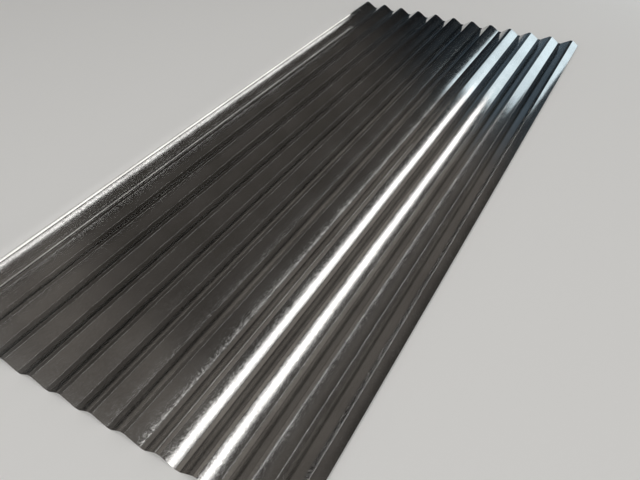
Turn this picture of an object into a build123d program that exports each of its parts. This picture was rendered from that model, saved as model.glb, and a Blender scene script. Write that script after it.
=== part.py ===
"""Corrugated galvanised steel roofing sheet, lying crests up. Millimetres, +Z up.

One strip of thin steel, bent into like ribs that run its whole length along Y.
The origin is on the floor, below the middle of the sheet.
"""
from build123d import *
import os

# Driving dimensions of the sheet
LENGTH = 2000.0
THICKNESS = 0.4

# Driving dimensions of the section, measured on the top face
CREST_COUNT = 12
PITCH = 76.0
DEPTH = 18.0
CREST_FLAT = 8.0
TROUGH_FLAT = 10.0

# Radius on the inside of every bend, and of the slight outward crown of the sloping webs
BEND_RADIUS = 3.0
WEB_CROWN_RADIUS = 370.0

# How far each long edge of the sheet hangs below the outer crests
EDGE_DROP = 14.0

# Levels of the top face in the troughs, on the crests and at the two long edges
TROUGH_LEVEL = THICKNESS
CREST_LEVEL = TROUGH_LEVEL + DEPTH
EDGE_LEVEL = CREST_LEVEL - EDGE_DROP

# Runs across the sheet, from a crest to its trough and from an outer crest to the edge
WEB_RUN = (PITCH - CREST_FLAT - TROUGH_FLAT) / 2
EDGE_RUN = WEB_RUN * EDGE_DROP / DEPTH

# Middles of the outer crests, with the origin halfway between them
OUTER_CREST = PITCH * (CREST_COUNT - 1) / 2


def crest(middle):
    """The flat top of one rib: its left and right ends."""
    return (middle - CREST_FLAT / 2, CREST_LEVEL), (middle + CREST_FLAT / 2, CREST_LEVEL)


def trough(middle):
    """The flat bottom between two ribs: its left and right ends."""
    return (middle - TROUGH_FLAT / 2, TROUGH_LEVEL), (middle + TROUGH_FLAT / 2, TROUGH_LEVEL)


def web(left, right):
    """A sloping web between two points, crowned outwards."""
    return RadiusArc(left, right, WEB_CROWN_RADIUS)


# Corrugated sheet: its section lies across the sheet and is drawn out along its length
with BuildPart() as sheet:
    with BuildSketch(Plane.XZ.offset(-LENGTH / 2)):
        with BuildLine() as section:
            outer_edge = OUTER_CREST + CREST_FLAT / 2 + EDGE_RUN
            previous = (-outer_edge, EDGE_LEVEL)
            for rib in range(CREST_COUNT):
                middle = rib * PITCH - OUTER_CREST
                if rib > 0:
                    foot, previous_foot = trough(middle - PITCH / 2)
                    web(previous, foot)
                    Line(foot, previous_foot)
                    previous = previous_foot
                left, right = crest(middle)
                web(previous, left)
                Line(left, right)
                previous = right
            web(previous, (outer_edge, EDGE_LEVEL))
            levels = section.vertices().group_by(Axis.Y)
            fillet(levels[-1], radius=BEND_RADIUS + THICKNESS)
            fillet(levels[0], radius=BEND_RADIUS)
            offset(amount=THICKNESS, side=Side.RIGHT)
        make_face()
    extrude(amount=LENGTH)

sheet.part.label = "corrugated_sheet"

os.makedirs("parts", exist_ok=True)
export_step(sheet.part, "parts/corrugated_sheet.step")
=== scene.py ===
"""Corrugated galvanised steel sheet: its fine mesh, its finish and the studio round it.

Metres, +Z up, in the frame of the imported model.
"""
import math

import bpy
import numpy as np
from mathutils import Matrix, Vector

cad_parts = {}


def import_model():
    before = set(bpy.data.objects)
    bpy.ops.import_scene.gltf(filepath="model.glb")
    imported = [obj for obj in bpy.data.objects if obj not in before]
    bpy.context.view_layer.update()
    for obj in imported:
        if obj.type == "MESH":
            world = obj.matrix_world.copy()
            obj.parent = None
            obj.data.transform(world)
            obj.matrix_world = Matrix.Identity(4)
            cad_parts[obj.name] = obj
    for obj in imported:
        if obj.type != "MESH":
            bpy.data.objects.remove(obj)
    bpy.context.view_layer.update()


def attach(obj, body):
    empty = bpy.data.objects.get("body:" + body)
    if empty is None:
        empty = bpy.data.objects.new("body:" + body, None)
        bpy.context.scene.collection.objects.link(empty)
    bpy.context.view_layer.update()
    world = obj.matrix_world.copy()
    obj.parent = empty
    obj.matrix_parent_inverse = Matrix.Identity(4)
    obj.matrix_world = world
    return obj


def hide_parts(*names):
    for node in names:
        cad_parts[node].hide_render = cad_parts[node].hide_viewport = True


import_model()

# The sheet, with the same named sizes as its source
LENGTH = 2.0
THICKNESS = 0.0004
CREST_COUNT = 12
PITCH = 0.076
DEPTH = 0.018
CREST_FLAT = 0.008
TROUGH_FLAT = 0.010
BEND_RADIUS = 0.003
WEB_CROWN_RADIUS = 0.370
EDGE_DROP = 0.014
TROUGH_LEVEL = THICKNESS
CREST_LEVEL = TROUGH_LEVEL + DEPTH
MIDDLE_LEVEL = (TROUGH_LEVEL + CREST_LEVEL) / 2
WEB_RUN = (PITCH - CREST_FLAT - TROUGH_FLAT) / 2
EDGE_RUN = WEB_RUN * EDGE_DROP / DEPTH
OUTER_CREST = PITCH * (CREST_COUNT - 1) / 2

# How finely the mesh follows it
BEND_STEPS = 7
WEB_STEPS = 5
ROWS = 84

# How far some crests and troughs sit to the side of their even places
CREST_SHIFTS = {0: -0.0010, 6: -0.0003, 7: -0.0006, 10: 0.0010, 11: 0.0014}
TROUGH_SHIFTS = {6: 0.0003, 7: 0.0007, 10: -0.0010}

# Slight unevenness that the rolls leave: how far ribs wander, and how much of the depth is lost
WANDER = 0.00004
DEPTH_LOSS = 0.00005

# The waves of each along the sheet: how many there are, and their shortest and longest length
WANDER_WAVES = (7, 0.25, 1.4)
DEPTH_WAVES = (5, 0.30, 1.4)
SEED = 7
rng = np.random.default_rng(SEED)


def half_rib(run, drop, foot):
    """One side of a rib, from the middle of its crest outwards.

    Each point is x, z and the angle of the normal from the vertical. With foot, the web ends in
    the bend of a trough and in half that trough's flat; without, it ends at a cut edge.
    """
    start = np.array([CREST_FLAT / 2, CREST_LEVEL])
    chord = np.array([run, -drop])
    span = math.hypot(run, drop)
    outward = np.array([drop, run]) / span
    sink = math.sqrt(WEB_CROWN_RADIUS**2 - (span / 2) ** 2)
    centre_x, centre_z = start + chord / 2 - outward * sink

    # The bend of the crest touches the flat above it and the crowned web from inside
    crest_radius = BEND_RADIUS + THICKNESS
    level = CREST_LEVEL - crest_radius
    reach = WEB_CROWN_RADIUS - crest_radius
    crest_x = centre_x + math.sqrt(reach**2 - (level - centre_z) ** 2)
    first = math.atan2(crest_x - centre_x, level - centre_z)
    points = [(0.0, CREST_LEVEL, 0.0)]
    for a in np.linspace(0, first, BEND_STEPS + 1):
        points.append((crest_x + crest_radius * math.sin(a), level + crest_radius * math.cos(a), a))

    # The web ends where the bend of the trough touches it from outside, or at the edge
    if foot:
        level = TROUGH_LEVEL + BEND_RADIUS
        reach = WEB_CROWN_RADIUS + BEND_RADIUS
        foot_x = centre_x + math.sqrt(reach**2 - (level - centre_z) ** 2)
        last = math.atan2(foot_x - centre_x, level - centre_z)
    else:
        edge_x, edge_z = start + chord
        last = math.atan2(edge_x - centre_x, edge_z - centre_z)

    # The web, then the bend and half the flat of the trough
    for a in np.linspace(first, last, WEB_STEPS + 1)[1:]:
        x = centre_x + WEB_CROWN_RADIUS * math.sin(a)
        z = centre_z + WEB_CROWN_RADIUS * math.cos(a)
        points.append((x, z, a))
    if foot:
        for a in np.linspace(last, 0, BEND_STEPS + 1)[1:]:
            points.append((foot_x - BEND_RADIUS * math.sin(a), level - BEND_RADIUS * math.cos(a), a))
        points.append((PITCH / 2, TROUGH_LEVEL, 0.0))
    return points


def whole_section():
    """The top face's line from edge to edge, as x, z and angle, and its developed length."""
    inner = half_rib(WEB_RUN, DEPTH, True)
    outer = half_rib(EDGE_RUN, EDGE_DROP, False)
    line = []
    for rib in range(CREST_COUNT):
        middle = rib * PITCH - OUTER_CREST
        left = outer if rib == 0 else inner
        right = outer if rib == CREST_COUNT - 1 else inner
        line += [(middle - x, z, -a) for x, z, a in left[:0:-1]]
        line += [(middle + x, z, a) for x, z, a in right[:-1]]
    x, z, a = outer[-1]
    line.append((OUTER_CREST + x, z, a))
    line = np.array(line)
    steps = np.hypot(np.diff(line[:, 0]), np.diff(line[:, 1]))
    return line, np.concatenate([[0.0], np.cumsum(steps)])


def wave_set(count, shortest, longest):
    """Random waves along the sheet, as amplitude, wave number and phase for each."""
    lengths = np.exp(rng.uniform(math.log(shortest), math.log(longest), count))
    sizes = np.sqrt(lengths / lengths.sum())
    sizes = sizes / np.sqrt((sizes**2).sum() / 2)
    return sizes, 2 * math.pi / lengths, rng.uniform(0, 2 * math.pi, count)


def waves(y, of):
    """The height of a set of waves at y, and its slope along y."""
    size, number, phase = of
    angle = y[..., None] * number + phase
    return (size * np.sin(angle)).sum(-1), (size * number * np.cos(angle)).sum(-1)


section, developed = whole_section()
across, levels, tilt = section.T
columns = len(section)
rows = np.linspace(-LENGTH / 2, LENGTH / 2, ROWS + 1)
row_count = len(rows)
point_count = columns * row_count

# Lines that run along the sheet: its left edge, then each crest and the trough or edge after it
lines = 2 * CREST_COUNT + 1

# For each column, the line before it, and the share of the rise or fall to the next line that it
# has made there
before =np.floor((across + OUTER_CREST + PITCH / 2) / (PITCH / 2)).astype(int).clip(0, lines - 2)
at_edge = (before == 0) | (before == lines - 2)
fall = np.where(at_edge, EDGE_DROP, DEPTH)
share = np.where(before % 2 == 1, CREST_LEVEL - levels, levels - CREST_LEVEL + fall) / fall
share_slope = np.abs(np.sin(tilt)) / fall


def between(values):
    """Values that each line has, carried over to the columns between them, with the slope across."""
    lo, hi = values[before], values[before + 1]
    return lo + (hi - lo) * share[:, None], (hi - lo) * share_slope[:, None]


def wave_lines(of):
    """A set of waves for every line: their heights, and their slopes along it."""
    pairs = [waves(rows, wave_set(*of)) for _ in range(lines)]
    return np.array([heights for heights, _ in pairs]), np.array([slopes for _, slopes in pairs])


# How far each line sits to the side, with the slopes of that across the sheet and along it
side, side_slope = wave_lines(WANDER_WAVES)
shifts = np.zeros((lines, 1))
for rib, amount in CREST_SHIFTS.items():
    shifts[2 * rib + 1] = amount
for rib, amount in TROUGH_SHIFTS.items():
    shifts[2 * rib + 2] = amount

# The two edges are cut straight and don't wander
wander = np.full((lines, 1), WANDER)
wander[[0, -1]] = 0
shift, shift_across = between(shifts + wander * side)
shift_along, _ = between(wander * side_slope)

# How much of the depth is lost, with its slope along the sheet
swing, swing_along = (between(values)[0] for values in wave_lines(DEPTH_WAVES))
loss = DEPTH_LOSS * (0.5 + 0.5 * np.tanh(swing))
loss_along = DEPTH_LOSS * 0.5 / np.cosh(swing) ** 2 * swing_along

# The top face, its slopes across and along, and its normals; then the underside
height = ((levels - MIDDLE_LEVEL) / (DEPTH / 2))[:, None]
tangent = np.stack([np.cos(tilt), -np.sin(tilt)], 1)
outward = np.stack([np.sin(tilt), 0 * tilt, np.cos(tilt)], 1)
top = np.zeros((columns, row_count, 3))
top[..., 0] = across[:, None] + shift
top[..., 1] = rows
top[..., 2] = levels[:, None] - height * loss
slope_across = np.zeros_like(top)
slope_across[..., 0] = tangent[:, :1] + shift_across
slope_across[..., 2] = tangent[:, 1:] * (1 - loss / (DEPTH / 2))
slope_along = np.zeros_like(top)
slope_along[..., 0] = shift_along
slope_along[..., 1] = 1
slope_along[..., 2] = -height * loss_along
normals = np.cross(slope_across, slope_along)
normals /= np.linalg.norm(normals, axis=2, keepdims=True)
under = top - THICKNESS * outward[:, None]

# The flat map: the margin round it, and the width that each face of the sheet takes
MAP_MARGIN = 0.012
MAP_WIDTH = 0.470

# The strips of the near, far, left and right rim on it: the axis across the strip, and where its
# top line and its bottom line lie on that axis
RIM_STRIPS = (
    (1, 0.006, 0.002),
    (1, 0.994, 0.998),
    (0, 0.492, 0.488),
    (0, 0.508, 0.512),
)

# How far the finish of the underside lies from that of the top face on its pattern
UNDERSIDE_SHIFT = 3.0


def flat_map(faces, face_count):
    """The sheet laid out flat: the top face on the left, the underside on the right, rims between."""
    point = faces % point_count
    u = MAP_MARGIN + MAP_WIDTH * developed[point // row_count] / developed[-1]
    v = MAP_MARGIN + (1 - 2 * MAP_MARGIN) * (point % row_count) / ROWS
    places = np.stack([u, v], -1)
    underside = slice(face_count, 2 * face_count)
    places[underside, :, 0] = 1 - places[underside, :, 0]
    at = 2 * face_count
    for axis, top_line, bottom_line in RIM_STRIPS:
        size = columns - 1 if axis == 1 else row_count - 1
        rim = slice(at, at + size)
        places[rim, :, axis] = np.where(faces[rim] >= point_count, bottom_line, top_line)
        at += size
    return places


def rim_faces(line):
    """Faces that join a line of points on the top face to the same line on the underside."""
    start, end = line[:-1], line[1:]
    return np.stack([start, end, end + point_count, start + point_count], -1)


def sheet_mesh():
    """The closed mesh of the sheet, with its own normals and its developed coordinates."""
    number = np.arange(point_count).reshape(columns, row_count)
    corners = (number[:-1, :-1], number[1:, :-1], number[1:, 1:], number[:-1, 1:])
    upper = np.stack(corners, -1).reshape(-1, 4)
    lower = upper[:, ::-1]
    (left_x, left_z), (right_x, right_z) = tangent[0], tangent[-1]
    rims = (
        (rim_faces(number[:, 0])[:, ::-1], (0.0, -1.0, 0.0)),
        (rim_faces(number[:, -1]), (0.0, 1.0, 0.0)),
        (rim_faces(number[0]), (-left_x, 0.0, -left_z)),
        (rim_faces(number[-1])[:, ::-1], (right_x, 0.0, right_z)),
    )
    faces = np.concatenate([upper, lower + point_count, *(quads for quads, _ in rims)])
    points = np.concatenate([top.reshape(-1, 3), under.reshape(-1, 3)])
    mesh = bpy.data.meshes.new("galvanised_sheet")
    mesh.from_pydata(points.tolist(), [], faces.tolist())
    mesh.polygons.foreach_set("use_smooth", np.ones(len(faces), dtype=bool))

    flat = normals.reshape(-1, 3)
    rim_normals = [np.tile(normal, (len(quads), 4, 1)) for quads, normal in rims]
    face_normals = np.concatenate([flat[upper], -flat[lower], *rim_normals])
    mesh.normals_split_custom_set(face_normals.reshape(-1, 3).tolist())
    mesh.uv_layers.new(name="OFBake").data.foreach_set("uv", flat_map(faces, len(upper)).ravel())

    place = np.zeros((2, columns, row_count, 3))
    place[..., 0] = developed[None, :, None]
    place[..., 1] = rows
    place[1, ..., 0] += UNDERSIDE_SHIFT
    mesh.attributes.new("developed", "FLOAT_VECTOR", "POINT").data.foreach_set("vector", place.ravel())
    mesh.update()
    return mesh


sheet = bpy.data.objects.new("galvanised_sheet", sheet_mesh())
bpy.context.collection.objects.link(sheet)
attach(sheet, "root")
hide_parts("corrugated_sheet")


class Nodes:
    """Short calls for building a node tree."""

    def __init__(self, tree):
        self.tree = tree
        tree.nodes.clear()

    def add(self, kind, **settings):
        node = self.tree.nodes.new(kind)
        for name, value in settings.items():
            setattr(node, name, value)
        return node

    def link(self, source, target):
        self.tree.links.new(source, target)

    def put(self, socket, value):
        """Sets a socket to a plain value, or links another socket to it."""
        if isinstance(value, bpy.types.NodeSocket):
            self.link(value, socket)
        elif value is not None:
            socket.default_value = value

    def maths(self, operation, first, second=None, third=None):
        node = self.add("ShaderNodeMath", operation=operation)
        for socket, value in zip(node.inputs, (first, second, third)):
            self.put(socket, value)
        return node.outputs[0]

    def vector(self, operation, first, second=None, scale=None):
        node = self.add("ShaderNodeVectorMath", operation=operation)
        self.put(node.inputs[0], first)
        self.put(node.inputs[1], second)
        if scale is not None:
            node.inputs["Scale"].default_value = scale
        return node.outputs[0]

    def noise(self, place, scale, detail=2.0, rough=0.5):
        node = self.add("ShaderNodeTexNoise", noise_dimensions="3D")
        self.put(node.inputs["Vector"], place)
        node.inputs["Scale"].default_value = scale
        node.inputs["Detail"].default_value = detail
        node.inputs["Roughness"].default_value = rough
        return node

    def cells(self, place, scale):
        node = self.add("ShaderNodeTexVoronoi", voronoi_dimensions="2D")
        self.put(node.inputs["Vector"], place)
        node.inputs["Scale"].default_value = scale
        return node

    def ramp(self, value, low, high):
        """Passes smoothly from 0 to 1 while the value passes from low to high."""
        node = self.add("ShaderNodeMapRange", interpolation_type="SMOOTHSTEP")
        self.put(node.inputs["Value"], value)
        node.inputs["From Min"].default_value = low
        node.inputs["From Max"].default_value = high
        return node.outputs["Result"]

    def blend(self, share, first, second):
        node = self.add("ShaderNodeMix", data_type="RGBA")
        self.put(node.inputs[0], share)
        self.put(node.inputs[6], first)
        self.put(node.inputs[7], second)
        return node.outputs[2]


# The crystals of the zinc, about 2 mm across: how many lie in a metre, the share of that along the
# sheet, how often and how far their outlines shake, and how far they tilt
CRYSTALS = 450.0
FINE_CRYSTALS = 1300.0
CRYSTAL_STRETCH = 0.8
OUTLINE_SHAKES = 600.0
OUTLINE_SHAKE = 0.0010
CRYSTAL_TILT = 0.008
FINE_TILT = 0.012

# Clouds from the zinc bath, and lines that the rolls draw along the sheet: how many in a metre, the
# detail and grain of the clouds, the lines' share of their number along the sheet, and the range
# of the noise over which each comes in
CLOUDS = 26.0
CLOUD_DETAIL = 4.0
CLOUD_GRAIN = 0.55
CLOUD_RANGE = (0.35, 0.68)
BROAD_CLOUDS = 6.0
BROAD_RANGE = (0.35, 0.65)
DRAWN_LINES = 260.0
DRAWN_STRETCH = 0.012
DRAWN_RANGE = (0.45, 0.75)

# Roughness of the metal, and what crystals, clouds and drawn lines add to it
ROUGHNESS = 0.085
CRYSTAL_ROUGHNESS = 0.07
CLOUD_ROUGHNESS = 0.015
DRAWN_ROUGHNESS = 0.01

# Colour of the metal from dull to bright, and what crystals and broad clouds add to the share
DULL_ZINC = (0.50, 0.495, 0.49, 1)
BRIGHT_ZINC = (0.68, 0.68, 0.67, 1)
BRIGHT_SHARE = 0.15
CRYSTAL_SHARE = 0.30
CLOUD_SHARE = 0.5


def galvanised_steel():
    """Bright zinc with small crystals that each lie at their own slight angle."""
    material = bpy.data.materials.new("galvanised_steel")
    material.use_nodes = True
    n = Nodes(material.node_tree)
    output = n.add("ShaderNodeOutputMaterial")
    metal = n.add("ShaderNodeBsdfPrincipled")
    n.link(metal.outputs[0], output.inputs["Surface"])
    metal.inputs["Metallic"].default_value = 1.0
    place = n.add("ShaderNodeAttribute", attribute_name="developed").outputs["Vector"]
    middle = (0.5, 0.5, 0.5)

    # The crystals, with uneven outlines
    shake = n.noise(place, OUTLINE_SHAKES)
    shift = n.vector("SUBTRACT", shake.outputs["Color"], middle)
    bent = n.vector("ADD", place, n.vector("SCALE", shift, scale=OUTLINE_SHAKE))
    stretched = n.vector("MULTIPLY", bent, (1.0, CRYSTAL_STRETCH, 1.0))
    crystal = n.cells(stretched, CRYSTALS)
    fine = n.cells(stretched, FINE_CRYSTALS)
    split = n.add("ShaderNodeSeparateColor")
    n.link(crystal.outputs["Color"], split.inputs[0])
    chance, other = split.outputs[0], split.outputs[1]

    # The clouds and the drawn lines
    cloud = n.noise(place, CLOUDS, CLOUD_DETAIL, CLOUD_GRAIN).outputs["Fac"]
    broad = n.noise(place, BROAD_CLOUDS).outputs["Fac"]
    drawn = n.noise(n.vector("MULTIPLY", place, (1.0, DRAWN_STRETCH, 1.0)), DRAWN_LINES).outputs["Fac"]

    rough = n.maths("MULTIPLY_ADD", n.maths("POWER", chance, 2.0), CRYSTAL_ROUGHNESS, ROUGHNESS)
    rough = n.maths("MULTIPLY_ADD", n.ramp(cloud, *CLOUD_RANGE), CLOUD_ROUGHNESS, rough)
    rough = n.maths("MULTIPLY_ADD", n.ramp(drawn, *DRAWN_RANGE), DRAWN_ROUGHNESS, rough)
    n.link(rough, metal.inputs["Roughness"])

    shade = n.maths("MULTIPLY_ADD", other, CRYSTAL_SHARE, BRIGHT_SHARE)
    shade = n.maths("MULTIPLY_ADD", n.ramp(broad, *BROAD_RANGE), CLOUD_SHARE, shade)
    n.link(n.blend(shade, DULL_ZINC, BRIGHT_ZINC), metal.inputs["Base Color"])

    # Each crystal's own tilt, and a finer one inside it
    normal = n.add("ShaderNodeNewGeometry").outputs["Normal"]
    tip = n.vector("SUBTRACT", crystal.outputs["Color"], middle)
    small = n.vector("SUBTRACT", fine.outputs["Color"], middle)
    turned = n.vector("ADD", normal, n.vector("SCALE", tip, scale=CRYSTAL_TILT))
    turned = n.vector("ADD", turned, n.vector("SCALE", small, scale=FINE_TILT))
    n.link(n.vector("NORMALIZE", turned), metal.inputs["Normal"])
    return material


sheet.data.materials.append(galvanised_steel())

# The camera: where it stands, how it is turned in degrees, its lens and sensor in millimetres
CAMERA_PLACE = Vector((0.6537, -1.2681, 0.8927))
CAMERA_YAW = -30.218
CAMERA_PITCH = 41.709
CAMERA_ROLL = -0.518
CAMERA_LENS = 32.40
CAMERA_SENSOR = 36.0

# The floor: how far it reaches each way, and its finish
FLOOR_REACH = 40.0
FLOOR_COLOUR = (0.86, 0.855, 0.845, 1)
FLOOR_ROUGHNESS = 0.85
FLOOR_SHINE = 0.2


def placed(place, right, up, back):
    """The matrix of an object at place, whose own axes point right, up and back."""
    return Matrix.Translation(place) @ Matrix((right, up, back)).transposed().to_4x4()


def camera():
    """The camera, turned by its yaw, pitch and roll."""
    yaw, pitch, roll = (math.radians(v) for v in (CAMERA_YAW, CAMERA_PITCH, CAMERA_ROLL))
    forward = Vector(
        (math.sin(yaw) * math.cos(pitch), math.cos(yaw) * math.cos(pitch), -math.sin(pitch))
    )
    level_right = Vector((math.cos(yaw), -math.sin(yaw), 0))
    level_up = level_right.cross(forward)
    right = math.cos(roll) * level_right + math.sin(roll) * level_up
    up = -math.sin(roll) * level_right + math.cos(roll) * level_up
    data = bpy.data.cameras.new("camera")
    data.lens = CAMERA_LENS
    data.sensor_width = CAMERA_SENSOR
    data.clip_start = 0.01
    data.clip_end = 200.0
    view = bpy.data.objects.new("camera", data)
    view.matrix_world = placed(CAMERA_PLACE, right, up, -forward)
    bpy.context.collection.objects.link(view)
    bpy.context.scene.camera = view


def floor():
    """A wide pale floor."""
    mesh = bpy.data.meshes.new("floor")
    r = FLOOR_REACH
    mesh.from_pydata([(-r, -r, 0), (r, -r, 0), (r, r, 0), (-r, r, 0)], [], [(0, 1, 2, 3)])
    thing = bpy.data.objects.new("floor", mesh)
    bpy.context.collection.objects.link(thing)
    material = bpy.data.materials.new("floor")
    material.use_nodes = True
    shader = material.node_tree.nodes["Principled BSDF"]
    shader.inputs["Base Color"].default_value = FLOOR_COLOUR
    shader.inputs["Roughness"].default_value = FLOOR_ROUGHNESS
    shader.inputs["Specular IOR Level"].default_value = FLOOR_SHINE
    mesh.materials.append(material)


def panel(name, place, target, width, length, radiance, colour, length_axis=(0, 1, 0)):
    """A soft light: a rectangle at place that faces target, with its length along an axis."""
    data = bpy.data.lights.new(name, "AREA")
    data.shape = "RECTANGLE"
    data.size = width
    data.size_y = length
    data.energy = radiance * math.pi * width * length
    data.color = colour
    lamp = bpy.data.objects.new(name, data)
    axis = Vector(length_axis)
    side = axis.cross(Vector(place) - Vector(target)).normalized()
    lamp.matrix_world = placed(place, side, axis, side.cross(axis))
    lamp.visible_camera = False
    bpy.context.collection.objects.link(lamp)


camera()
floor()

# Key light behind the camera
panel(
    "key",
    place=(1.5, -3.5, 3.5),
    target=(0, 0, 0),
    width=8.0,
    length=8.0,
    radiance=0.72,
    colour=(1.0, 0.985, 0.96),
    length_axis=(0, 0.7071, 0.7071),
)
# A long strip high on the right, which draws the two bright streaks
panel(
    "strip",
    place=(4.72, 5.8, 5.5),
    target=(0.2, 5.8, 0.0),
    width=0.53,
    length=13.6,
    radiance=3.2,
    colour=(1.0, 0.985, 0.965),
)
# A cool light beyond the far end
panel(
    "window",
    place=(0.77, 2.2, 0.50),
    target=(0.77, 1.0, 0.50),
    width=0.50,
    length=0.62,
    radiance=1.20,
    colour=(0.84, 1.0, 1.08),
    length_axis=(0.515, 0, 0.857),
)
# Two narrow lights for the left edge: one overhead and one low beside it
panel(
    "left_high",
    place=(-0.033, 1.62, 2.6),
    target=(-0.033, 1.62, 0.0),
    width=0.10,
    length=6.0,
    radiance=2.4,
    colour=(1.0, 0.99, 0.97),
)
panel(
    "left_low",
    place=(-0.447, -0.06, 0.042),
    target=(-0.4185, -0.06, 0.018),
    width=0.010,
    length=1.9,
    radiance=1.8,
    colour=(1.0, 0.98, 0.95),
)

# The studio's light level by the angle across the sheet, in degrees to the right of straight up:
# what the near part of the sheet reflects, then its middle, then its far part
NEAR_SKY = (
    (-90, 0.12),
    (-70, 0.12),
    (-58, 0.06),
    (-49, 0.15),
    (-46, 0.08),
    (-40, 0.06),
    (-31, 0.07),
    (-27, 0.27),
    (-22, 0.25),
    (-16, 0.02),
    (6, 0.02),
    (15, 0.13),
    (32, 0.12),
    (40, 0.01),
    (50, 0.10),
    (90, 0.06),
)
MID_SKY = (
    (-90, 0.12),
    (-70, 0.12),
    (-58, 0.04),
    (-46, 0.03),
    (-40, 0.06),
    (-31, 0.07),
    (-27, 0.27),
    (-22, 0.25),
    (-16, 0.02),
    (8, 0.005),
    (15, 0.07),
    (32, 0.055),
    (40, 0.01),
    (50, 0.10),
    (58, 0.03),
    (90, 0.06),
)
FAR_SKY = (
    (-90, 0.10),
    (-76, 0.12),
    (-60, 0.02),
    (-50, 0.04),
    (-40, 0.005),
    (-28, 0.01),
    (-23, 0.12),
    (-17, 0.02),
    (20, 0.005),
    (28, 0.025),
    (36, 0.01),
    (90, 0.08),
)

# Their tints: the near and middle parts are warm, and the far part is cool
WARM = (1.0, 0.91, 0.82)
COOL = (0.72, 1.0, 1.25)

# Behind the camera, to the right and past the far end: plain pale walls, dimmer overhead
WALLS = (0.80, 0.80, 0.79, 1)
CEILING = (0.45, 0.45, 0.445, 1)

# Where walls pass into ceiling, by the part of the direction that points up
CEILING_RANGE = (0.10, 0.70)

# Where the walls behind the camera, the three skies and the walls past the far end follow one
# another, by the part of the direction that points along the sheet
FRONT_RANGE = (0.0, 0.27)
NEAR_RANGE = (0.35, 0.45)
FAR_RANGE = (0.81, 0.88)
PAST_RANGE = (0.94, 0.97)

# Where the skies pass into the walls on the right, by the angle across the sheet
RIGHT_RANGE = (60, 72)


def sky(n, share, stops, tint):
    """The tinted light levels of one sky, by the share of the half circle over the sheet."""
    node = n.add("ShaderNodeValToRGB")
    n.link(share, node.inputs[0])
    elements = node.color_ramp.elements
    while len(elements) < len(stops):
        elements.new(0.5)
    for element, (angle, level) in zip(elements, stops):
        element.position = angle / 180 + 0.5
        element.color = (*[level * part for part in tint], 1)
    return node.outputs[0]


def world():
    """A studio that is pale behind the camera and dim ahead of it, over the sheet."""
    studio = bpy.data.worlds.new("studio")
    bpy.context.scene.world = studio
    studio.use_nodes = True
    n = Nodes(studio.node_tree)
    output = n.add("ShaderNodeOutputWorld")
    background = n.add("ShaderNodeBackground")
    n.link(background.outputs[0], output.inputs["Surface"])
    direction = n.add("ShaderNodeTexCoord").outputs["Generated"]
    split = n.add("ShaderNodeSeparateXYZ")
    n.link(direction, split.inputs[0])
    right, ahead, up = split.outputs
    turn = n.maths("ARCTAN2", right, up)
    share = n.maths("MULTIPLY_ADD", turn, 1 / math.pi, 0.5)
    near = sky(n, share, NEAR_SKY, WARM)
    middle = sky(n, share, MID_SKY, WARM)
    far = sky(n, share, FAR_SKY, COOL)
    pale = n.blend(n.ramp(up, *CEILING_RANGE), WALLS, CEILING)
    light = n.blend(n.ramp(ahead, *NEAR_RANGE), near, middle)
    light = n.blend(n.ramp(ahead, *FAR_RANGE), light, far)
    light = n.blend(n.ramp(ahead, *FRONT_RANGE), pale, light)
    light = n.blend(n.ramp(ahead, *PAST_RANGE), light, pale)
    light = n.blend(n.ramp(turn, *[math.radians(v) for v in RIGHT_RANGE]), light, pale)
    n.link(light, background.inputs["Color"])
    background.inputs["Strength"].default_value = 1.0


world()
bpy.context.scene.view_settings.view_transform = "Standard"
